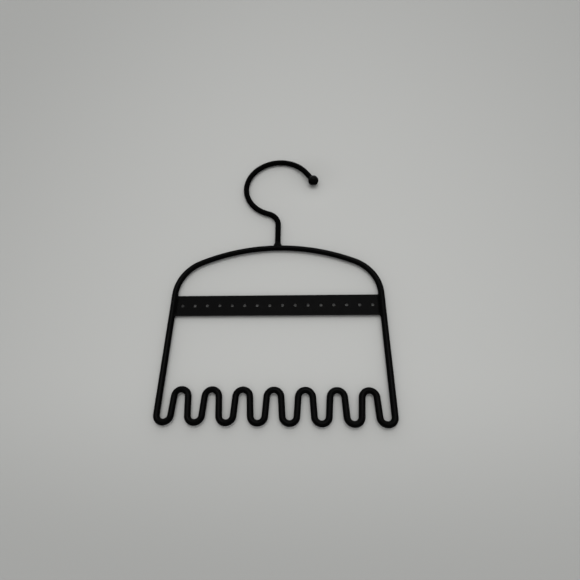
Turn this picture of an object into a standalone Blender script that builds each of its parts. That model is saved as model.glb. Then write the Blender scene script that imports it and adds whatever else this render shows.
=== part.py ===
# Hanging jewelry organizer: a bent wire frame on a closet hook, with a drilled earring bar.
# It hangs upright: +Z up, its front towards -Y, and the origin where the rod carries the hook.
from math import acos, asin, atan2, ceil, cos, hypot, pi, radians, sin, sqrt, tan

import bmesh
import bpy
from mathutils import Vector

# Wire, shared by the frame and the hook
WIRE_DIAMETER = 0.0050
WIRE_SIDES = 16
CHORD_ERROR = 0.00005
CLEARANCE = 0.0003

# Hook: an arc that opens to the right, a small bend back to the stem, and a straight tip
HOOK_OPENING = 0.0570
BEND_RADIUS = 0.0130
STEM_LENGTH = 0.0220
HOOK_END_ANGLE = radians(35)
TIP_LENGTH = 0.0120
BALL_WALL = 0.0020

# Frame: a shallow crown, two round shoulders, two sides that lean in, and a row of hanging loops
FRAME_WIDTH = 0.1800
FRAME_HEIGHT = 0.1540
CROWN_DROP = 0.0113
SHOULDER_RADIUS = 0.0335
SIDE_LEAN = radians(0.9)
LOOP_COUNT = 8
LOOP_RADIUS = 0.0054
HUMP_RADIUS = 0.0054
LOOP_DEPTH = 0.0136

# Earring bar: a flat strip just under the shoulders' feet, with one row of through holes
BAR_HEIGHT = 0.0180
BAR_THICKNESS = 0.0016
BAR_DROP = 0.0012
BAR_EDGE_RADIUS = 0.0003
HOLE_COUNT = 16
HOLE_DIAMETER = 0.0026
HOLE_MARGIN = 0.0052
HOLE_SIDES = 20

# Welds: a hollowed collar round the stem's foot, and a fillet at each corner of the bar
COLLAR_LIP = 0.0002
COLLAR_FLARE = 0.0009
COLLAR_HEIGHT = 0.0038
COLLAR_SKIRT = 0.0016
COLLAR_SIDES = 32
COLLAR_STEPS = 6
FILLET_LEG = 0.0022
FILLET_TOE = 0.0005
FILLET_THICKNESS = 0.0022
FILLET_EDGE_RADIUS = 0.0002
FILLET_STEPS = 6

BALL_SIDES = 28
BALL_STEPS = 15
EDGE_SEGMENTS = 2
CUT_OVERRUN = 0.0020
MERGE_DISTANCE = 0.00001
SMOOTH_ANGLE = radians(40)

# Satin powder coat, with the bar's flat faces a little smoother than the wire
COAT_COLOUR = (0.0065, 0.0065, 0.0068, 1.0)
WIRE_ROUGHNESS = 0.50
BAR_ROUGHNESS = 0.55
BALL_ROUGHNESS = 0.42
WELD_ROUGHNESS = 0.60

# Heights and radii that follow from the sizes above, measured from the hook's seat at the origin
WIRE_RADIUS = WIRE_DIAMETER / 2
HOOK_RADIUS = HOOK_OPENING / 2 + WIRE_RADIUS
HOOK_Z = -HOOK_OPENING / 2
BEND_Z = HOOK_Z - sqrt((BEND_RADIUS + HOOK_RADIUS) ** 2 - BEND_RADIUS ** 2)
FRAME_TOP = BEND_Z - STEM_LENGTH
CROWN_TOP = FRAME_TOP - WIRE_RADIUS
LOOP_Z = FRAME_TOP - FRAME_HEIGHT + WIRE_RADIUS + LOOP_RADIUS
HUMP_Z = LOOP_Z + LOOP_DEPTH
LOOP_PITCH = (FRAME_WIDTH - WIRE_DIAMETER - 2 * LOOP_RADIUS) / (LOOP_COUNT - 1)
END_LOOP_X = LOOP_PITCH * (LOOP_COUNT - 1) / 2
SHOULDER_Z = CROWN_TOP - CROWN_DROP - SHOULDER_RADIUS
BAR_TOP = SHOULDER_Z - BAR_DROP
BAR_BOTTOM = BAR_TOP - BAR_HEIGHT
BORE_RADIUS = WIRE_RADIUS + CLEARANCE
BALL_RADIUS = BORE_RADIUS + BALL_WALL
LIP_RADIUS = BORE_RADIUS + COLLAR_LIP
COLLAR_RADIUS = LIP_RADIUS + COLLAR_FLARE


def arc(centre, radius, start, end):
    """Points from one angle to the other, close enough for the allowed chord error."""
    step = 2 * acos(1 - CHORD_ERROR / radius)
    count = max(2, ceil(abs(end - start) / step))
    angles = [start + (end - start) * i / count for i in range(count + 1)]
    return [(centre[0] + radius * cos(a), centre[1] + radius * sin(a)) for a in angles]


def joined(*runs):
    """One list of points, without the point that two runs share."""
    path = []
    for run in runs:
        for point in run:
            if not path or hypot(point[0] - path[-1][0], point[1] - path[-1][1]) > CHORD_ERROR:
                path.append(point)
    return path


def mirrored(run):
    return [(-x, z) for x, z in run]


def side_x(z, inset):
    """Where the right side is at a height, on a line drawn inset from the wire's middle."""
    reach = (LOOP_RADIUS - inset) / cos(SIDE_LEAN)
    return END_LOOP_X + reach - (z - LOOP_Z) * tan(SIDE_LEAN)


def shoulder_x():
    """The shoulder's arc touches the side from inside, so its centre lies one radius in from the side."""
    return side_x(SHOULDER_Z, SHOULDER_RADIUS)


def inner_x(z):
    """Half the clear width between the wires at a height."""
    if z < SHOULDER_Z:
        return side_x(z, WIRE_RADIUS)
    return shoulder_x() + sqrt((SHOULDER_RADIUS - WIRE_RADIUS) ** 2 - (z - SHOULDER_Z) ** 2)


def arch_path():
    """Right half of the arch, from the top of the crown to the foot of the shoulder."""
    x = shoulder_x()
    # The crown touches the shoulder from outside: this radius makes the two arcs one smooth line.
    drop = SHOULDER_RADIUS + CROWN_DROP
    crown_radius = (x ** 2 + drop ** 2 - SHOULDER_RADIUS ** 2) / (2 * CROWN_DROP)
    crown_z = CROWN_TOP - crown_radius
    meeting = atan2(SHOULDER_Z - crown_z, x)
    crown = arc((0, crown_z), crown_radius, pi / 2, meeting)
    return joined(crown, arc((x, SHOULDER_Z), SHOULDER_RADIUS, meeting, SIDE_LEAN))


def loop_path():
    """Row of hanging loops, from the right side wire to the left one."""
    half_pitch = LOOP_PITCH / 2
    spacing = hypot(half_pitch, LOOP_DEPTH)
    # Each leg is the inner tangent of a loop and its neighbouring hump.
    lean = atan2(half_pitch, LOOP_DEPTH) - asin((LOOP_RADIUS + HUMP_RADIUS) / spacing)
    path = []
    for i in range(LOOP_COUNT):
        x = END_LOOP_X - LOOP_PITCH * i
        first = SIDE_LEAN if i == 0 else -lean
        last = -pi - SIDE_LEAN if i == LOOP_COUNT - 1 else -pi + lean
        path = joined(path, arc((x, LOOP_Z), LOOP_RADIUS, first, last))
        if i < LOOP_COUNT - 1:
            path = joined(path, arc((x - half_pitch, HUMP_Z), HUMP_RADIUS, lean, pi - lean))
    return path


def hook_path():
    """Stem, small bend, the large arc over the rod, and the straight tip."""
    swing = atan2(HOOK_Z - BEND_Z, BEND_RADIUS)
    stem = [(0, FRAME_TOP + CLEARANCE), (0, BEND_Z)]
    bend = arc((-BEND_RADIUS, BEND_Z), BEND_RADIUS, 0, swing)
    over = arc((0, HOOK_Z), HOOK_RADIUS, pi + swing, HOOK_END_ANGLE)
    return joined(stem, bend, over, [ball_centre()])


def ball_centre():
    end_x = HOOK_RADIUS * cos(HOOK_END_ANGLE) + TIP_LENGTH * sin(HOOK_END_ANGLE)
    end_z = HOOK_RADIUS * sin(HOOK_END_ANGLE) - TIP_LENGTH * cos(HOOK_END_ANGLE)
    return end_x, HOOK_Z + end_z


def coat(name, roughness):
    """Satin black powder coat."""
    material = bpy.data.materials.new(name)
    material.use_nodes = True
    shader = material.node_tree.nodes["Principled BSDF"]
    shader.inputs["Base Color"].default_value = COAT_COLOUR
    shader.inputs["Roughness"].default_value = roughness
    shader.inputs["Metallic"].default_value = 0
    material.diffuse_color = COAT_COLOUR
    return material


def placed(name, data, material, parent):
    part = bpy.data.objects.new(name, data)
    bpy.context.scene.collection.objects.link(part)
    data.materials.append(material)
    part.parent = parent
    return part


def wire(name, path, closed, material, parent):
    """A round wire along a path in the frame's plane."""
    curve = bpy.data.curves.new(name, "CURVE")
    curve.dimensions = "3D"
    curve.twist_mode = "Z_UP"
    curve.bevel_depth = WIRE_RADIUS
    curve.bevel_resolution = WIRE_SIDES // 2 - 2
    curve.use_fill_caps = not closed
    spline = curve.splines.new("POLY")
    spline.points.add(len(path) - 1)
    for point, (x, z) in zip(spline.points, path):
        point.co = (x, z, 0, 1)
    spline.use_cyclic_u = closed
    part = placed(name, curve, material, parent)
    # The curve is drawn flat, then stood up.
    part.rotation_euler.x = pi / 2
    return part


def slab(outline, thickness, edge_radius):
    """A flat outline in the frame's plane, made a plate with its rims rounded."""
    mesh = bmesh.new()
    back = [mesh.verts.new((x, thickness / 2, z)) for x, z in outline]
    face = mesh.faces.new(back)
    grown = bmesh.ops.extrude_face_region(mesh, geom=[face])
    front = [v for v in grown["geom"] if isinstance(v, bmesh.types.BMVert)]
    bmesh.ops.translate(mesh, verts=front, vec=(0, -thickness, 0))
    bmesh.ops.recalc_face_normals(mesh, faces=mesh.faces)
    rims = [e for e in mesh.edges if abs(e.verts[0].co.y - e.verts[1].co.y) < thickness / 2]
    bmesh.ops.bevel(mesh, geom=rims, offset=edge_radius, segments=EDGE_SEGMENTS,
                    profile=0.5, affect="EDGES")
    return mesh


def turned(profile, sides):
    """A profile of radii and heights, turned about the Z axis."""
    mesh = bmesh.new()
    ring = [mesh.verts.new((r, 0, z)) for r, z in profile]
    edges = [mesh.edges.new(pair) for pair in zip(ring, ring[1:])]
    bmesh.ops.spin(mesh, geom=ring + edges, cent=(0, 0, 0), axis=(0, 0, 1), angle=2 * pi,
                   steps=sides, use_merge=True)
    bmesh.ops.remove_doubles(mesh, verts=mesh.verts, dist=MERGE_DISTANCE)
    bmesh.ops.recalc_face_normals(mesh, faces=mesh.faces)
    return mesh


def to_mesh(name, mesh, rounded=True):
    data = bpy.data.meshes.new(name)
    mesh.to_mesh(data)
    mesh.free()
    if rounded:
        data.shade_smooth()
        data.set_sharp_from_angle(angle=SMOOTH_ANGLE)
    return data


def cut(part, cutter):
    """Takes a hidden cutter's shape out of a part."""
    cutter.hide_render = True
    cutter.display_type = "WIRE"
    modifier = part.modifiers.new("cut by " + cutter.name, "BOOLEAN")
    modifier.operation = "DIFFERENCE"
    modifier.solver = "EXACT"
    modifier.object = cutter


def rods(name, starts, direction, length, radius, sides):
    """Cutter of parallel round rods, one from each starting point."""
    mesh = bmesh.new()
    along = Vector(direction).normalized()
    turn = Vector((0, 0, 1)).rotation_difference(along).to_matrix().to_4x4()
    for start in starts:
        made = bmesh.ops.create_cone(mesh, cap_ends=True, segments=sides, radius1=radius,
                                     radius2=radius, depth=length)
        bmesh.ops.rotate(mesh, verts=made["verts"], cent=(0, 0, 0), matrix=turn)
        bmesh.ops.translate(mesh, verts=made["verts"], vec=Vector(start) + along * length / 2)
    part = bpy.data.objects.new(name, to_mesh(name, mesh))
    bpy.context.scene.collection.objects.link(part)
    return part


def frame_wire(parent):
    """One wire: the arch, both sides and the loops. Its butted ends are under the stem's weld."""
    right = arch_path()
    path = joined(right, loop_path(), mirrored(reversed(right)))
    return wire("frame_wire", path[:-1], True, coat("frame_coat", WIRE_ROUGHNESS), parent)


def hook_wire(parent):
    return wire("hook_wire", hook_path(), False, coat("hook_coat", WIRE_ROUGHNESS), parent)


def hook_ball(parent):
    """Ball over the wire's tip, turned about the tip with a blind bore that the wire ends in."""
    mouth = acos(BORE_RADIUS / BALL_RADIUS)
    profile = [(0, -CLEARANCE), (BORE_RADIUS, -CLEARANCE)]
    for i in range(BALL_STEPS + 1):
        a = mouth - (mouth + pi / 2) * i / BALL_STEPS
        profile.append((BALL_RADIUS * cos(a), BALL_RADIUS * sin(a)))
    data = to_mesh("hook_ball", turned(profile, BALL_SIDES))
    ball = placed("hook_ball", data, coat("ball_coat", BALL_ROUGHNESS), parent)
    x, z = ball_centre()
    ball.location = (x, 0, z)
    ball.rotation_euler.y = -HOOK_END_ANGLE
    return ball


def earring_bar(parent):
    """Flat strip cut to the sides' lean, drilled along its middle."""
    low_x = inner_x(BAR_BOTTOM) - CLEARANCE
    high_x = inner_x(BAR_TOP) - CLEARANCE
    outline = [(-low_x, BAR_BOTTOM), (low_x, BAR_BOTTOM), (high_x, BAR_TOP), (-high_x, BAR_TOP)]
    mesh = slab(outline, BAR_THICKNESS, BAR_EDGE_RADIUS)
    material = coat("bar_coat", BAR_ROUGHNESS)
    bar = placed("earring_bar", to_mesh("earring_bar", mesh, rounded=False), material, parent)
    last_x = (low_x + high_x) / 2 - HOLE_MARGIN
    pitch = 2 * last_x / (HOLE_COUNT - 1)
    front = -BAR_THICKNESS / 2 - CUT_OVERRUN
    middle = (BAR_TOP + BAR_BOTTOM) / 2
    starts = [(-last_x + pitch * i, front, middle) for i in range(HOLE_COUNT)]
    length = BAR_THICKNESS + 2 * CUT_OVERRUN
    cut(bar, rods("hole_drills", starts, (0, 1, 0), length, HOLE_DIAMETER / 2, HOLE_SIDES))
    return bar


def hook_weld(parent):
    """Collar of weld round the stem's foot, saddled on the crown."""
    # Hollow from the lip down to the widest ring, then drawn in again down the skirt.
    profile = [(BORE_RADIUS, FRAME_TOP + COLLAR_HEIGHT)]
    for i in range(COLLAR_STEPS + 1):
        a = pi / 2 * i / COLLAR_STEPS
        profile.append((COLLAR_RADIUS - COLLAR_FLARE * cos(a), FRAME_TOP + COLLAR_HEIGHT * (1 - sin(a))))
    for i in range(1, COLLAR_STEPS + 1):
        a = pi / 2 * i / COLLAR_STEPS
        profile.append((LIP_RADIUS + COLLAR_FLARE * cos(a), FRAME_TOP - COLLAR_SKIRT * sin(a)))
    profile += [(BORE_RADIUS, FRAME_TOP - COLLAR_SKIRT), profile[0]]
    data = to_mesh("hook_weld", turned(profile, COLLAR_SIDES))
    collar = placed("hook_weld", data, coat("weld_coat", WELD_ROUGHNESS), parent)
    reach = COLLAR_RADIUS + CUT_OVERRUN
    start = (-reach, 0, CROWN_TOP)
    cut(collar, rods("crown_seat", [start], (1, 0, 0), 2 * reach, BORE_RADIUS, COLLAR_SIDES))
    return collar


def bar_weld(name, across, up, parent):
    """Hollow fillet in one corner between the bar's edge and the side wire."""
    foot = (BAR_TOP if up > 0 else BAR_BOTTOM) + up * CLEARANCE
    tip = foot + up * FILLET_LEG
    # The back follows the wire, and the open side is hollowed between the two toes.
    rises = [foot + up * FILLET_LEG * i / FILLET_STEPS for i in range(FILLET_STEPS + 1)]
    back = [(inner_x(z) - CLEARANCE, z) for z in rises]
    toe_x = back[0][0] - FILLET_LEG
    wide = back[-1][0] - FILLET_TOE - toe_x
    tall = FILLET_LEG - FILLET_TOE
    hollow = []
    for i in range(FILLET_STEPS + 1):
        a = pi / 2 * i / FILLET_STEPS
        hollow.append((toe_x + wide * cos(a), tip - up * tall * sin(a)))
    outline = [(across * x, z) for x, z in back + hollow + [(toe_x, foot)]]
    mesh = slab(outline, FILLET_THICKNESS, FILLET_EDGE_RADIUS)
    data = to_mesh(name, mesh, rounded=False)
    return placed(name, data, coat(name + "_coat", WELD_ROUGHNESS), parent)


def build():
    for old in list(bpy.data.objects):
        bpy.data.objects.remove(old, do_unlink=True)
    seat = bpy.data.objects.new("hook_seat", None)
    bpy.context.scene.collection.objects.link(seat)
    frame_wire(seat)
    hook_wire(seat)
    hook_ball(seat)
    earring_bar(seat)
    hook_weld(seat)
    for side, across in (("left", -1), ("right", 1)):
        bar_weld("bar_weld_upper_" + side, across, 1, seat)
        bar_weld("bar_weld_lower_" + side, across, -1, seat)


build()
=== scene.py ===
from math import asin, atan2, ceil, cos, hypot, pi, radians, sin, sqrt, tan

import bmesh
import bpy
from mathutils import Matrix, Vector, noise


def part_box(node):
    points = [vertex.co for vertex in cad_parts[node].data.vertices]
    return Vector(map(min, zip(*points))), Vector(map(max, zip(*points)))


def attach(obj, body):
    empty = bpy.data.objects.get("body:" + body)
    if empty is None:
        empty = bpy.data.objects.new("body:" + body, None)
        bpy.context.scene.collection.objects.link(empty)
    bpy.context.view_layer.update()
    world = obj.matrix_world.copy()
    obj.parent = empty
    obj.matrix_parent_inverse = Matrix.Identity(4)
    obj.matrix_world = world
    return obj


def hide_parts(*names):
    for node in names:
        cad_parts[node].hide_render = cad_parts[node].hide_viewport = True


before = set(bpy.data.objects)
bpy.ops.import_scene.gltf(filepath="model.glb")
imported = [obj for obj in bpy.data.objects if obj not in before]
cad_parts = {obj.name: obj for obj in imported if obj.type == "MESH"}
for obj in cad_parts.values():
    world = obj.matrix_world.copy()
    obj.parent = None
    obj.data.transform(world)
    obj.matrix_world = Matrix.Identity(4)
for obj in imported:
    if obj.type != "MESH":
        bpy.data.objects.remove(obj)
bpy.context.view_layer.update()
mm = 0.001
micron = 0.001 * mm
# Points nearer to each other than these are one point
samePoint = {"mesh": micron, "cells": 2 * micron, "path": 10 * micron}
print("frame loaded:", ", ".join(sorted(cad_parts)))


class Link:
    # One output of a node. A sum written on it adds the Math node that works it out.
    def __init__(self, graph, socket):
        self.graph = graph
        self.socket = socket

    def of(self, name):
        return Link(self.graph, self.socket.node.outputs[name])

    def work(self, operation, first, second):
        return self.graph.node("ShaderNodeMath", {"operation": operation}, {0: first, 1: second})

    def __add__(self, other):
        return self.work("ADD", self, other)

    def __sub__(self, other):
        return self.work("SUBTRACT", self, other)

    def __rsub__(self, other):
        return self.work("SUBTRACT", other, self)

    def __mul__(self, other):
        return self.work("MULTIPLY", self, other)

    __radd__ = __add__
    __rmul__ = __mul__


class Graph:
    # A tree of nodes, for a material or for geometry
    def __init__(self, tree):
        self.tree = tree

    def node(self, kind, settings, inputs, output=0):
        made = self.tree.nodes.new(kind)
        for name, value in settings.items():
            setattr(made, name, value)
        for name, value in inputs.items():
            if isinstance(value, Link):
                self.tree.links.new(value.socket, made.inputs[name])
            else:
                made.inputs[name].default_value = value
        return Link(self, made.outputs[output])


def startTree(name, kinds):
    # kinds gives each named input its kind of socket
    tree = bpy.data.node_groups.new(name, "GeometryNodeTree")
    tree.interface.new_socket("Geometry", in_out="INPUT", socket_type="NodeSocketGeometry")
    tree.interface.new_socket("Geometry", in_out="OUTPUT", socket_type="NodeSocketGeometry")
    for label, kind in kinds.items():
        tree.interface.new_socket(label, in_out="INPUT", socket_type="NodeSocket" + kind)
    graph = Graph(tree)
    return graph, graph.node("NodeGroupInput", {}, {})


def endTree(graph, shape, material):
    real = graph.node("GeometryNodeRealizeInstances", {}, {"Geometry": shape})
    coated = graph.node("GeometryNodeSetMaterial", {}, {"Geometry": real, "Material": material})
    end = graph.tree.nodes.new("NodeGroupOutput")
    graph.tree.links.new(coated.socket, end.inputs["Geometry"])
    return graph.tree


def grow(host, tree, values):
    # Runs the tree on the host with these inputs, and gives the result as a plain mesh
    modifier = host.modifiers.new(tree.name, "NODES")
    modifier.node_group = tree
    for item in tree.interface.items_tree:
        if item.in_out == "INPUT" and item.name in values:
            modifier[item.identifier] = values[item.name]
    result = bpy.data.meshes.new_from_object(host.evaluated_get(bpy.context.evaluated_depsgraph_get()))
    bpy.data.objects.remove(host)
    return result


def hostOf(name, data):
    host = bpy.data.objects.new(name + "Host", data)
    bpy.context.scene.collection.objects.link(host)
    return host


def finished(name, mesh, material, slot, *nodes):
    # The piece stands at the origin, with its place in its mesh, and rides on the one body
    mesh.name = name
    if material.name not in mesh.materials:
        mesh.materials.clear()
        mesh.materials.append(material)
    piece = bpy.data.objects.new(name, mesh)
    bpy.context.scene.collection.objects.link(piece)
    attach(piece, "root")
    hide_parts(*nodes)
    print("made", name, len(mesh.polygons), "faces")


def eased(share):
    # From 0 to 1 with a soft start and end
    return share * share * (3 - 2 * share)


def smoothMesh(name, shape):
    bmesh.ops.remove_doubles(shape, verts=shape.verts, dist=samePoint["mesh"])
    bmesh.ops.recalc_face_normals(shape, faces=shape.faces)
    mesh = bpy.data.meshes.new(name)
    shape.to_mesh(mesh)
    shape.free()
    mesh.shade_smooth()
    return mesh


# Powder coat: sizes in millimetres, heights in microns
coats = {
    "frameCoat": {"colour": 0.0003, "specular": 0.027, "roughness": 0.20, "peel": 1.1, "peelHeight": 15,
                  "seed": 1.3},
    "hookCoat": {"colour": 0.0006, "specular": 0.011, "roughness": 0.28, "peel": 1.1, "peelHeight": 24,
                 "seed": 4.1},
    "ballCoat": {"colour": 0.0004, "specular": 0.038, "roughness": 0.14, "peel": 1.3, "peelHeight": 6,
                 "seed": 7.7},
    # Painted light: the bar's colour is paler than the frame's so its flat face reads lighter, for light it
    # does not catch from the windows
    "barCoat": {"colour": 0.0010, "specular": 0.028, "roughness": 0.46, "peel": 1.0, "peelHeight": 28,
                "seed": 2.6},
    "weldCoat": {"colour": 0.0004, "specular": 0.025, "roughness": 0.34, "peel": 0.9, "peelHeight": 30,
                 "seed": 9.2},
}
coatShared = {"grain": 0.16, "grainHeight": 1.6, "cloud": 5.0, "cloudShare": 0.6, "thickTone": 0.72,
              "thinTone": 1.35, "cloudGloss": 0.10, "grainGloss": 0.06, "nibs": 3.2, "nibSize": 0.11,
              "nibHeight": 22}


def powderCoat(name):
    look = coats[name]
    material = bpy.data.materials.new(name)
    material.use_nodes = True
    graph = Graph(material.node_tree)
    shader = material.node_tree.nodes["Principled BSDF"]
    shader.inputs["Specular IOR Level"].default_value = look["specular"]
    place = graph.node("ShaderNodeTexCoord", {}, {}).of("Object")
    place = graph.node("ShaderNodeMapping", {}, {"Vector": place, "Location": (look["seed"], 0, 0)})

    def mottle(size, detail):
        inputs = {"Vector": place, "Scale": 1 / (size * mm), "Detail": detail, "Roughness": 0.5}
        return graph.node("ShaderNodeTexNoise", {"noise_dimensions": "3D"}, inputs)

    cloud = mottle(coatShared["cloud"], 2.0)
    peel = mottle(look["peel"], 1.0)
    grain = mottle(coatShared["grain"], 1.0)

    # The film is a little greyer where it is thin, and its gloss wanders with its thickness
    dark = [look["colour"] * coatShared["thickTone"]] * 3 + [1]
    pale = [look["colour"] * coatShared["thinTone"]] * 3 + [1]
    thin = cloud * coatShared["cloudShare"] + peel * (1 - coatShared["cloudShare"])
    film = graph.node("ShaderNodeMix", {"data_type": "RGBA"}, {0: thin, 6: dark, 7: pale}, 2)
    graph.tree.links.new(film.socket, shader.inputs["Base Color"])
    gloss = (cloud - 0.5) * (2 * coatShared["cloudGloss"]) + (grain - 0.5) * (2 * coatShared["grainGloss"])
    gloss = gloss + look["roughness"]
    graph.tree.links.new(gloss.socket, shader.inputs["Roughness"])

    # Orange peel, the powder's fine grain, and a few nibs of dust under the film
    cells = {"Vector": place, "Scale": 1 / (coatShared["nibs"] * mm), "Randomness": 1.0}
    nib = graph.node("ShaderNodeTexVoronoi", {"feature": "F1", "voronoi_dimensions": "3D"}, cells)
    reach = coatShared["nibSize"] / coatShared["nibs"]
    span = {"Value": nib, "From Min": 0.0, "From Max": reach, "To Min": coatShared["nibHeight"],
            "To Max": 0.0}
    nibs = graph.node("ShaderNodeMapRange", {"interpolation_type": "SMOOTHSTEP"}, span)
    height = peel * look["peelHeight"] + grain * coatShared["grainHeight"] + nibs
    bump = graph.node("ShaderNodeBump", {}, {"Height": height, "Strength": 1.0, "Distance": micron})
    graph.tree.links.new(bump.socket, shader.inputs["Normal"])
    return material


# Both wires are the same round stock
stock = {"diameter": 5.0 * mm, "sides": 40, "step": 0.5 * mm, "arcStep": 0.35 * mm,
         "unevenness": 0.03 * mm, "wavelength": 7.0 * mm}
wireRadius = stock["diameter"] / 2


def arc(centre, radius, start, end):
    count = max(2, ceil(abs(end - start) * radius / stock["arcStep"]))
    angles = [start + (end - start) * i / count for i in range(count + 1)]
    return [(centre[0] + radius * cos(a), centre[1] + radius * sin(a)) for a in angles]


def joined(*runs):
    # The point that two runs share is kept once
    path = []
    for run in runs:
        for point in run:
            if not path or hypot(point[0] - path[-1][0], point[1] - path[-1][1]) > samePoint["path"]:
                path.append(point)
    return path


def sweepTree():
    # A round wire along the host's curve, with the slight unevenness that the powder leaves
    kinds = {"Diameter": "Float", "Sides": "Int", "Step": "Float", "Unevenness": "Float",
             "Wavelength": "Float", "Material": "Material"}
    graph, given = startTree("sweptWire", kinds)
    curve = graph.node("GeometryNodeResampleCurve", {"mode": "LENGTH"},
                       {"Curve": given.of("Geometry"), "Length": given.of("Step")})
    ring = graph.node("GeometryNodeCurvePrimitiveCircle", {"mode": "RADIUS"},
                      {"Resolution": given.of("Sides"), "Radius": given.of("Diameter") * 0.5})
    tube = graph.node("GeometryNodeCurveToMesh", {},
                      {"Curve": curve, "Profile Curve": ring, "Fill Caps": True})
    spot = graph.node("GeometryNodeInputPosition", {}, {})
    waves = graph.node("ShaderNodeMath", {"operation": "DIVIDE"}, {0: 1.0, 1: given.of("Wavelength")})
    wave = graph.node("ShaderNodeTexNoise", {}, {"Vector": spot, "Scale": waves, "Detail": 1.0})
    outward = graph.node("GeometryNodeInputNormal", {}, {})
    lift = (wave - 0.5) * given.of("Unevenness")
    push = graph.node("ShaderNodeVectorMath", {"operation": "SCALE"}, {0: outward, "Scale": lift})
    uneven = graph.node("GeometryNodeSetPosition", {}, {"Geometry": tube, "Offset": push})
    smooth = graph.node("GeometryNodeSetShadeSmooth", {}, {"Geometry": uneven})
    return endTree(graph, smooth, given.of("Material"))


def sweptWire(name, path, closed, material):
    curve = bpy.data.curves.new(name, "CURVE")
    curve.dimensions = "3D"
    spline = curve.splines.new("POLY")
    spline.points.add(len(path) - 1)
    for point, (x, z) in zip(spline.points, path):
        point.co = (x, 0, z, 1)
    spline.use_cyclic_u = closed
    values = {"Diameter": stock["diameter"], "Sides": stock["sides"], "Step": stock["step"],
              "Unevenness": stock["unevenness"], "Wavelength": stock["wavelength"], "Material": material}
    return grow(hostOf(name, curve), wireTree, values)


wireTree = sweepTree()

# Frame: a shallow crown, two round shoulders, two sides that lean in, and the row of hanging loops
frameForm = {"crownDrop": 11.3 * mm, "shoulder": 33.5 * mm, "lean": radians(0.9), "loops": 8,
             "loopRadius": 5.4 * mm, "humpRadius": 5.4 * mm, "loopDepth": 13.6 * mm}
frameLow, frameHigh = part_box("frame_wire")
crownZ = frameHigh.z - wireRadius
loopZ = frameLow.z + wireRadius + frameForm["loopRadius"]
endLoopX = frameHigh.x - wireRadius - frameForm["loopRadius"]
shoulderZ = crownZ - frameForm["crownDrop"] - frameForm["shoulder"]


def sideX(z, inset):
    lean = frameForm["lean"]
    return endLoopX + (frameForm["loopRadius"] - inset) / cos(lean) - (z - loopZ) * tan(lean)


shoulderX = sideX(shoulderZ, frameForm["shoulder"])
crownDepth = frameForm["shoulder"] + frameForm["crownDrop"]
crownRadius = (shoulderX ** 2 + crownDepth ** 2 - frameForm["shoulder"] ** 2) / (2 * frameForm["crownDrop"])


def archPath():
    meeting = atan2(shoulderZ - crownZ + crownRadius, shoulderX)
    crown = arc((0, crownZ - crownRadius), crownRadius, pi / 2, meeting)
    return joined(crown, arc((shoulderX, shoulderZ), frameForm["shoulder"], meeting, frameForm["lean"]))


def loopRow():
    # Each straight leg is the inner tangent of a loop and the hump beside it
    last = frameForm["loops"] - 1
    halfPitch = endLoopX / last
    depth = frameForm["loopDepth"]
    lean = atan2(halfPitch, depth)
    lean -= asin((frameForm["loopRadius"] + frameForm["humpRadius"]) / hypot(halfPitch, depth))
    path = []
    for i in range(last + 1):
        x = endLoopX - 2 * halfPitch * i
        first = frameForm["lean"] if i == 0 else -lean
        final = -pi - frameForm["lean"] if i == last else -pi + lean
        path = joined(path, arc((x, loopZ), frameForm["loopRadius"], first, final))
        if i < last:
            hump = arc((x - halfPitch, loopZ + depth), frameForm["humpRadius"], lean, pi - lean)
            path = joined(path, hump)
    return path


def makeFrameWire():
    right = archPath()
    left = [(-x, z) for x, z in reversed(right)]
    material = powderCoat("frameCoat")
    mesh = sweptWire("frameWire", joined(right, loopRow(), left)[:-1], True, material)
    finished("frameWire", mesh, material, "frame_coat", "frame_wire")


# Hook: the stem, a small bend, the large arc over the rod, and a straight tip that ends in the ball
hookForm = {"opening": 57.0 * mm, "bend": 13.0 * mm, "endAngle": radians(35), "tip": 12.0 * mm,
            "sunk": 1.5 * mm}
hookRadius = hookForm["opening"] / 2 + wireRadius
hookZ = -hookForm["opening"] / 2
tipDown = Vector((sin(hookForm["endAngle"]), 0, -cos(hookForm["endAngle"])))
arcEnd = Vector((hookRadius * cos(hookForm["endAngle"]), 0, hookZ + hookRadius * sin(hookForm["endAngle"])))
ballCentre = arcEnd + tipDown * hookForm["tip"]


def makeHookWire():
    bend = hookForm["bend"]
    bendZ = hookZ - sqrt((bend + hookRadius) ** 2 - bend ** 2)
    swing = atan2(hookZ - bendZ, bend)
    stem = [(0, frameHigh.z - hookForm["sunk"]), (0, bendZ)]
    small = arc((-bend, bendZ), bend, 0, swing)
    over = arc((0, hookZ), hookRadius, pi + swing, hookForm["endAngle"])
    material = powderCoat("hookCoat")
    path = joined(stem, small, over, [(ballCentre.x, ballCentre.z)])
    mesh = sweptWire("hookWire", path, False, material)
    finished("hookWire", mesh, material, "hook_coat", "hook_wire")


# Ball: turned about the tip, with the small hollow of coat where the wire enters it
ballForm = {"neck": 0.8 * mm, "sides": 72, "steps": 40, "neckSteps": 8, "coreWidth": 0.8, "coreLift": 0.1}
ballLow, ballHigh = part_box("hook_ball")
ballRadius = (ballHigh.y - ballLow.y) / 2


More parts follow.
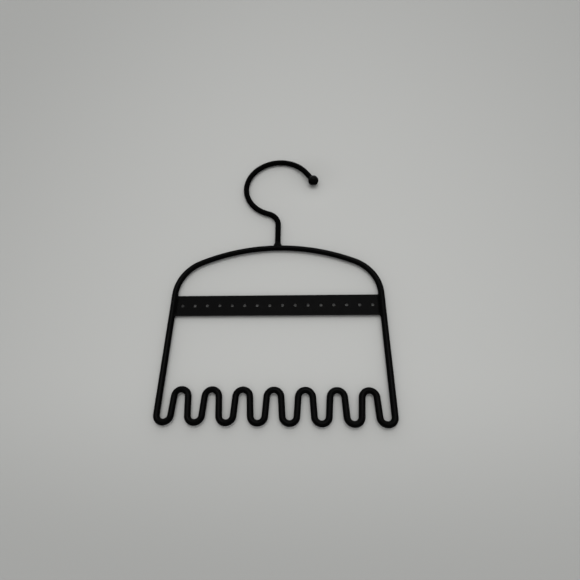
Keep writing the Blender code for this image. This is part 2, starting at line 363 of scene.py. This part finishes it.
def makeBall():
    radius = ballRadius
    neck = ballForm["neck"]
    neckHeight = sqrt((radius + neck) ** 2 - (wireRadius + neck) ** 2)
    top = atan2(neckHeight, wireRadius + neck)
    profile = []
    for i in range(ballForm["steps"] + 1):
        a = -pi / 2 + (top + pi / 2) * i / ballForm["steps"]
        profile.append((max(0, radius * cos(a)), radius * sin(a)))
    for i in range(1, ballForm["neckSteps"] + 1):
        a = pi + top * (1 - i / ballForm["neckSteps"])
        profile.append((wireRadius + neck + neck * cos(a), neckHeight + neck * sin(a)))
    # It closes inside the wire
    profile.append((wireRadius * ballForm["coreWidth"], neckHeight + neck * ballForm["coreLift"]))
    profile.append((0, neckHeight))
    shape = bmesh.new()
    ring = [shape.verts.new((r, 0, z)) for r, z in profile]
    edges = [shape.edges.new(pair) for pair in zip(ring, ring[1:])]
    bmesh.ops.spin(shape, geom=ring + edges, cent=(0, 0, 0), axis=(0, 0, 1), angle=2 * pi,
                   steps=ballForm["sides"], use_merge=True)
    mesh = smoothMesh("ball", shape)
    mesh.transform(Matrix.Translation(ballCentre) @ Matrix.Rotation(-hookForm["endAngle"], 4, "Y"))
    finished("hookBall", mesh, powderCoat("ballCoat"), "ball_coat", "hook_ball")


# Bar: one drilled cell, repeated along the strip by Geometry Nodes, with its ends drawn out to the wires
barForm = {"holes": 16, "holeDiameter": 2.6 * mm, "holeMargin": 5.2 * mm, "rim": 0.34 * mm,
           "edge": 0.3 * mm, "hold": 0.12 * mm, "around": 32, "roundSteps": 3, "fanSteps": 3,
           "fanPower": 1.4, "sunk": 0.45 * mm}
barLow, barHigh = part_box("earring_bar")
barHeight = barHigh.z - barLow.z
barThick = barHigh.y - barLow.y
barMiddle = (barHigh.z + barLow.z) / 2
barEnd = barHigh.x - barHeight / 2 * tan(frameForm["lean"])
holePitch = 2 * (barEnd - barForm["holeMargin"]) / (barForm["holes"] - 1)


def holeRings():
    # From the middle of the hole's wall, over its rounded rim and out on the face: radius and depth
    radius = barForm["holeDiameter"] / 2
    rim = barForm["rim"]
    rings = [(radius, 0)]
    for i in range(barForm["roundSteps"] + 1):
        a = pi / 2 * i / barForm["roundSteps"]
        rings.append((radius + rim * (1 - cos(a)), -barThick / 2 + rim * (1 - sin(a))))
    return rings + [(radius + rim + barForm["hold"], -barThick / 2)]


def edgeRows():
    # From the cell's square up the face, and over the strip's rounded edge to its middle: height and depth
    edge = barForm["edge"]
    top = barHeight / 2
    rows = [(holePitch / 2, -barThick / 2), (top - edge - barForm["hold"], -barThick / 2)]
    for i in range(barForm["roundSteps"] + 1):
        a = pi / 2 * i / barForm["roundSteps"]
        rows.append((top - edge * (1 - sin(a)), -barThick / 2 + edge * (1 - cos(a))))
    return rows + [(top, -barThick / 2 + edge + barForm["hold"]), (top, 0)]


def barCell():
    shape = bmesh.new()
    around = barForm["around"]
    half = holePitch / 2

    def squared(a):
        reach = half / max(abs(cos(a)), abs(sin(a)))
        return Vector((reach * cos(a), -barThick / 2, reach * sin(a)))

    def column(a):
        # One column of points from the hole's wall to the cell's edge
        points = [Vector((r * cos(a), y, r * sin(a))) for r, y in holeRings()]
        inner = points[-1]
        for i in range(1, barForm["fanSteps"] + 1):
            points.append(inner.lerp(squared(a), (i / barForm["fanSteps"]) ** barForm["fanPower"]))
        return points

    def strip(first, second):
        for i in range(len(first) - 1):
            corners = (first[i], first[i + 1], second[i + 1], second[i])
            shape.faces.new([shape.verts.new(corner) for corner in corners])

    for k in range(around):
        a, b = 2 * pi * k / around, 2 * pi * (k + 1) / around
        strip(column(a), column(b))
        # The quarter round the top gives the columns that run on to the strip's upper and lower edge
        if around / 8 <= k < around * 3 / 8:
            x1, x2 = squared(a).x, squared(b).x
            for sign in (1, -1):
                strip([Vector((x1, y, sign * z)) for z, y in edgeRows()],
                      [Vector((x2, y, sign * z)) for z, y in edgeRows()])
    back = bmesh.ops.duplicate(shape, geom=shape.verts[:] + shape.edges[:] + shape.faces[:])["geom"]
    for vert in back:
        if isinstance(vert, bmesh.types.BMVert):
            vert.co.y = -vert.co.y
    return smoothMesh("barCell", shape)


def stripTree():
    kinds = {"Cells": "Int", "Pitch": "Float", "Height": "Float", "End": "Float", "Lean": "Float",
             "Material": "Material"}
    graph, given = startTree("drilledStrip", kinds)
    start = given.of("Pitch") * (given.of("Cells") - 1) * -0.5
    height = given.of("Height")
    along = graph.node("ShaderNodeCombineXYZ", {}, {"X": given.of("Pitch")})
    first = graph.node("ShaderNodeCombineXYZ", {}, {"X": start, "Z": height})
    line = graph.node("GeometryNodeMeshLine", {"mode": "OFFSET"},
                      {"Count": given.of("Cells"), "Start Location": first, "Offset": along})
    row = graph.node("GeometryNodeInstanceOnPoints", {}, {"Points": line, "Instance": given.of("Geometry")})
    whole = graph.node("GeometryNodeRealizeInstances", {}, {"Geometry": row})
    strip = graph.node("GeometryNodeMergeByDistance", {}, {"Geometry": whole, "Distance": samePoint["cells"]})
    # The outermost points follow the side wires, which lean in towards the top
    spot = graph.node("GeometryNodeInputPosition", {}, {})
    spot = graph.node("ShaderNodeSeparateXYZ", {}, {"Vector": spot})
    x, z = spot.of("X"), spot.of("Z")
    size = graph.node("ShaderNodeMath", {"operation": "ABSOLUTE"}, {0: x})
    side = graph.node("ShaderNodeMath", {"operation": "SIGN"}, {0: x})
    lastX = given.of("Pitch") * given.of("Cells") * 0.5
    outer = graph.node("FunctionNodeCompare", {"data_type": "FLOAT", "operation": "GREATER_THAN"},
                       {0: size, 1: lastX - samePoint["path"]})
    reach = given.of("End") - (z - height) * given.of("Lean")
    moved = graph.node("ShaderNodeCombineXYZ", {}, {"X": (reach - size) * side})
    fitted = graph.node("GeometryNodeSetPosition", {},
                        {"Geometry": strip, "Selection": outer, "Offset": moved})
    return endTree(graph, fitted, given.of("Material"))


def makeBar():
    material = powderCoat("barCoat")
    values = {"Cells": barForm["holes"], "Pitch": holePitch, "Height": barMiddle,
              "End": barEnd + barForm["sunk"], "Lean": tan(frameForm["lean"]), "Material": material}
    mesh = grow(hostOf("bar", barCell()), stripTree(), values)
    shape = bmesh.new()
    shape.from_mesh(mesh)
    bmesh.ops.holes_fill(shape, edges=[e for e in shape.edges if e.is_boundary])
    bmesh.ops.recalc_face_normals(shape, faces=shape.faces)
    shape.to_mesh(mesh)
    shape.free()
    mesh.shade_smooth()
    finished("earringBar", mesh, material, "bar_coat", "earring_bar")


# Stem weld: one smooth, slightly hollow skin from the stem down to the crown
saddleForm = {"rise": 3.9 * mm, "sideRise": 3.0 * mm, "core": 1.5 * mm, "spread": 4.1 * mm,
              "wrap": radians(100), "push": 0.5 * mm, "sidePush": 0.6 * mm, "lift": 0.6 * mm,
              "sunk": 0.03 * mm, "around": 72, "steps": 18, "ripple": 0.10 * mm, "rippleSize": 2.2 * mm}


def rippled(point, form, amount):
    # Hand-laid metal is never quite even
    return noise.noise(point / form["rippleSize"]) * form["ripple"] * amount


def makeSaddle():
    form = saddleForm
    shape = bmesh.new()
    inside = wireRadius - form["sunk"]
    columns = []
    for k in range(form["around"]):
        a = 2 * pi * k / form["around"]
        outward = Vector((cos(a), sin(a), 0))
        blend = abs(sin(a)) ** 2
        rise = form["rise"] * (1 - blend) + form["sideRise"] * blend
        top = outward * inside + Vector((0, 0, frameHigh.z + rise))
        turn = form["wrap"] * sin(a)
        x = form["spread"] * cos(a)
        bottom = Vector((x, inside * sin(turn), crownZ + inside * cos(turn) - x ** 2 / (2 * crownRadius)))
        push = form["push"] * (1 - blend) + form["sidePush"] * blend
        height = crownZ + wireRadius * abs(cos(a)) + form["lift"] * (1 - blend)
        corner = outward * (wireRadius + push) + Vector((0, 0, height))
        column = []
        for i in range(form["steps"] + 1):
            t = i / form["steps"]
            point = top * (1 - t) ** 2 + corner * (2 * t * (1 - t)) + bottom * t ** 2
            point += outward * rippled(point, form, sin(pi * t))
            column.append(shape.verts.new(point))
        columns.append(column)
    # It closes inside the wires
    upper = shape.verts.new((0, 0, frameHigh.z + form["core"]))
    lower = shape.verts.new((0, 0, crownZ))
    for first, second in zip(columns, columns[1:] + columns[:1]):
        shape.faces.new((upper, first[0], second[0]))
        shape.faces.new((lower, second[-1], first[-1]))
        for i in range(form["steps"]):
            shape.faces.new((first[i], first[i + 1], second[i + 1], second[i]))
    finished("hookWeld", smoothMesh("hookWeld", shape), weldCoat, "weld_coat", "hook_weld")


# Corner welds: a small hollow from the strip's edge to the wire, and a thin bead that follows the strip's end
cornerForm = {"leg": 1.6 * mm, "bead": 0.45 * mm, "reach": 3.4 * mm, "push": 0.12, "sunk": 0.04 * mm,
              "core": 0.26 * mm, "gap": 0.35 * mm, "flatSteps": 4, "steps": 10, "ripple": 0.08 * mm,
              "rippleSize": 1.7 * mm}


def endOutline():
    # Half of the strip's end, from its middle up the front, over the edge and down the back:
    # depth, height, and which way the surface faces
    thick, edge, top = barThick / 2, barForm["edge"], barHeight / 2
    count = ceil((top - edge) / cornerForm["gap"])
    face = [(-thick, (top - edge) * i / count, -1, 0) for i in range(count)]
    turn = [pi / 2 * i / barForm["roundSteps"] for i in range(barForm["roundSteps"] + 1)]
    face += [(-thick + edge * (1 - cos(a)), top - edge * (1 - sin(a)), -cos(a), sin(a)) for a in turn]
    wide = thick - edge
    flat = [(wide * i / cornerForm["flatSteps"], top, 0, 1) for i in range(1 - cornerForm["flatSteps"], 1)]
    back = [(-y, z, -faceY, faceZ) for y, z, faceY, faceZ in reversed(face + flat[:-1])]
    return face + flat + back


def makeCorner(level, up, hand, side):
    form = cornerForm
    shape = bmesh.new()
    rings = []

    def onWire(depth, rise, radius):
        # The side wire's inner skin at this depth, and at this rise from the strip's middle
        height = barMiddle + up * rise
        return Vector((side * sideX(height, sqrt(radius ** 2 - depth ** 2)), depth, height))

    for y, z, faceY, faceZ in endOutline():
        away = hypot(y, barHeight / 2 - z)
        size = form["bead"] + (form["leg"] - form["bead"]) * eased(max(0, 1 - away / form["reach"]))
        outward = Vector((0, faceY, up * faceZ))
        corner = onWire(y, z, wireRadius)
        onStrip = corner - Vector((side * size, 0, 0)) - outward * form["sunk"]
        turned = asin(y / wireRadius) + size * faceY / wireRadius
        inner = wireRadius - form["sunk"]
        toe = onWire(inner * sin(turned), z + size * faceZ, inner)
        pull = corner + (outward - Vector((side, 0, 0))) * (size * form["push"])
        ring = []
        for i in range(form["steps"] + 1):
            t = i / form["steps"]
            point = onStrip * (1 - t) ** 2 + pull * (2 * t * (1 - t)) + toe * t ** 2
            point += outward * rippled(point, form, sin(pi * t) * size / form["leg"])
            ring.append(shape.verts.new(point))
        ring.append(shape.verts.new(corner + (Vector((side, 0, 0)) - outward) * form["core"]))
        rings.append(ring)
    for first, second in zip(rings, rings[1:]):
        for i in range(len(first)):
            k = (i + 1) % len(first)
            shape.faces.new((first[i], first[k], second[k], second[i]))
    shape.faces.new(rings[0])
    shape.faces.new(rings[-1])
    name = "barWeld" + level.capitalize() + hand.capitalize()
    finished(name, smoothMesh(name, shape), weldCoat, "weld_coat", "bar_weld_" + level + "_" + hand)


weldCoat = powderCoat("weldCoat")

print("making the wires")
makeFrameWire()
makeHookWire()
print("making the ball, the bar and the welds")
makeBall()
makeBar()
makeSaddle()
for level, up in (("upper", 1), ("lower", -1)):
    for hand, side in (("left", -1), ("right", 1)):
        makeCorner(level, up, hand, side)

# Mat: the pale soft surface that the organizer lies on. Only the camera sees it, and only from its front
# side, so it keeps no light from the organizer's back.
# Painted shade: outer is the darker tone at the mat's rim; middle, wide, up and down set where the lit middle
# sits and how soon the shade comes on
mat = {"size": 6.0, "gap": 0.03 * mm, "dip": 34.0 * mm, "cells": 90, "evenShare": 0.02, "crowding": 5,
       "colour": (0.462, 0.465, 0.453), "outer": (0.344, 0.346, 0.337), "middle": (0.025, 0.0, -0.198),
       "wide": 0.513, "up": 0.813, "down": 0.159, "roughness": 0.85, "specular": 0.1}


def makeMat():
    # The wires lie on it, and it gives under the ball, which is thicker than they are
    level = wireRadius + mat["gap"]
    deep = ballRadius - wireRadius
    cells = mat["cells"]
    shape = bmesh.new()

    def spaced(i):
        # Cells are finest at the ball
        share = 2 * i / cells - 1
        even = mat["evenShare"]
        return (even * share + (1 - even) * share ** mat["crowding"]) * mat["size"] / 2

    rows = []
    for i in range(cells + 1):
        rows.append([])
        for k in range(cells + 1):
            x, z = spaced(i), spaced(k)
            y = level + deep * eased(max(0, 1 - hypot(x, z) / mat["dip"]))
            rows[-1].append(shape.verts.new((ballCentre.x + x, y, ballCentre.z + z)))
    for first, second in zip(rows, rows[1:]):
        for k in range(cells):
            shape.faces.new((first[k], second[k], second[k + 1], first[k + 1]))
    mesh = bpy.data.meshes.new("mat")
    shape.to_mesh(mesh)
    shape.free()
    mesh.shade_smooth()
    board = bpy.data.objects.new("mat", mesh)
    bpy.context.scene.collection.objects.link(board)
    material = bpy.data.materials.new("paleMat")
    material.use_nodes = True
    graph = Graph(material.node_tree)
    shader = material.node_tree.nodes["Principled BSDF"]
    shader.inputs["Roughness"].default_value = mat["roughness"]
    shader.inputs["Specular IOR Level"].default_value = mat["specular"]
    spot = graph.node("ShaderNodeTexCoord", {}, {}).of("Object")
    # Painted shade: its tone darkens away from the middle, soonest towards the foot, in place of the light
    # falling off there
    offset = graph.node("ShaderNodeVectorMath", {"operation": "SUBTRACT"}, {0: spot, 1: mat["middle"]})
    offset = graph.node("ShaderNodeSeparateXYZ", {}, {0: offset})
    across = offset.of("X") * (1 / mat["wide"])
    up = offset.of("Z") * (1 / mat["up"])
    down = offset.of("Z") * (-1 / mat["down"])
    along = up.work("MAXIMUM", up, down)
    away = graph.node("ShaderNodeCombineXYZ", {}, {"X": across, "Z": along})
    away = graph.node("ShaderNodeVectorMath", {"operation": "LENGTH"}, {0: away}, 1)
    paintedFalloff = graph.node("ShaderNodeMapRange", {"interpolation_type": "SMOOTHSTEP"}, {"Value": away})
    inner = (*mat["colour"], 1)
    outer = (*mat["outer"], 1)
    tone = graph.node("ShaderNodeMix", {"data_type": "RGBA"}, {0: paintedFalloff, 6: inner, 7: outer}, 2)
    graph.tree.links.new(tone.socket, shader.inputs["Base Color"])
    front = 1 - graph.node("ShaderNodeNewGeometry", {}, {}).of("Backfacing")
    hidden = 1 - front * graph.node("ShaderNodeLightPath", {}, {}).of("Is Camera Ray")
    clear = graph.node("ShaderNodeBsdfTransparent", {}, {})
    shown = Link(graph, shader.outputs["BSDF"])
    mixed = graph.node("ShaderNodeMixShader", {}, {"Fac": hidden, 1: shown, 2: clear})
    graph.tree.links.new(mixed.socket, material.node_tree.nodes["Material Output"].inputs["Surface"])
    mesh.materials.append(material)


# Light: a pale room, lighter towards the hook's end, with a soft window overhead and a weaker one on each
# side of it. The organizer lies face up, so overhead is towards its front. Below it the room is dim, but for
# the glow behind.
room = {"walls": 0.62, "end": 1.1, "endSpread": 2.0, "below": 0.12, "drop": 0.2, "seen": (0.46, 0.465, 0.45)}
glows = {
    "over": {"aim": (0.04, -0.95, 0.30), "spread": 70.0, "power": 7.7},
    "left": {"aim": (-0.42, -0.89, 0.15), "spread": 70.0, "power": 2.3},
    "right": {"aim": (0.48, -0.86, 0.15), "spread": 70.0, "power": 2.4},
    "behind": {"aim": (0.0, 0.97, -0.24), "spread": 18.0, "power": 3.4},
}


def makeLight():
    world = bpy.data.worlds.new("room")
    world.use_nodes = True
    bpy.context.scene.world = world
    graph = Graph(world.node_tree)
    ground = world.node_tree.nodes["Background"]
    way = graph.node("ShaderNodeTexCoord", {}, {}).of("Generated")

    def glow(aim, spread):
        along = graph.node("ShaderNodeVectorMath", {"operation": "DOT_PRODUCT"}, {0: way, 1: aim}, 1)
        along = along.work("MAXIMUM", along, 0.0)
        return along.work("POWER", along, spread)

    drop = {"Value": graph.node("ShaderNodeSeparateXYZ", {}, {0: way}).of("Y"), "From Min": 0.0,
            "From Max": room["drop"], "To Min": 1.0, "To Max": room["below"]}
    light = glow((0, 0, 1), room["endSpread"]) * room["end"] + room["walls"]
    light = light * graph.node("ShaderNodeMapRange", {}, drop)
    for soft in glows.values():
        light = light + glow(Vector(soft["aim"]).normalized(), soft["spread"]) * soft["power"]
    seen = graph.node("ShaderNodeLightPath", {}, {}).of("Is Camera Ray")
    shade = graph.node("ShaderNodeCombineColor", {}, {0: light, 1: light, 2: light})
    plain = (*room["seen"], 1)
    tone = graph.node("ShaderNodeMix", {"data_type": "RGBA"}, {0: seen, 6: shade, 7: plain}, 2)
    graph.tree.links.new(tone.socket, ground.inputs["Color"])


# Camera: it looks up along the organizer from its foot
sight = {"lens": 27.06, "sensor": 36.0, "tilt": -0.46021, "turn": -0.07208, "roll": 0.00982,
         "right": 3.96 * mm, "up": 121.8 * mm, "away": 424.45 * mm, "shift": 0.0248}


def makeCamera():
    data = bpy.data.cameras.new("camera")
    data.lens = sight["lens"]
    data.sensor_width = sight["sensor"]
    data.shift_x = sight["shift"]
    camera = bpy.data.objects.new("camera", data)
    bpy.context.scene.collection.objects.link(camera)
    turned = Matrix.Rotation(sight["roll"], 4, "Z") @ Matrix.Rotation(sight["turn"], 4, "Y")
    turned = turned @ Matrix.Rotation(sight["tilt"] - pi / 2, 4, "X")
    moved = Matrix.Translation((sight["right"], sight["up"], -sight["away"]))
    camera.matrix_world = (moved @ turned).inverted()
    bpy.context.scene.camera = camera


print("setting the mat, the light and the camera")
makeMat()
makeLight()
makeCamera()
bpy.context.scene.view_settings.view_transform = "Standard"
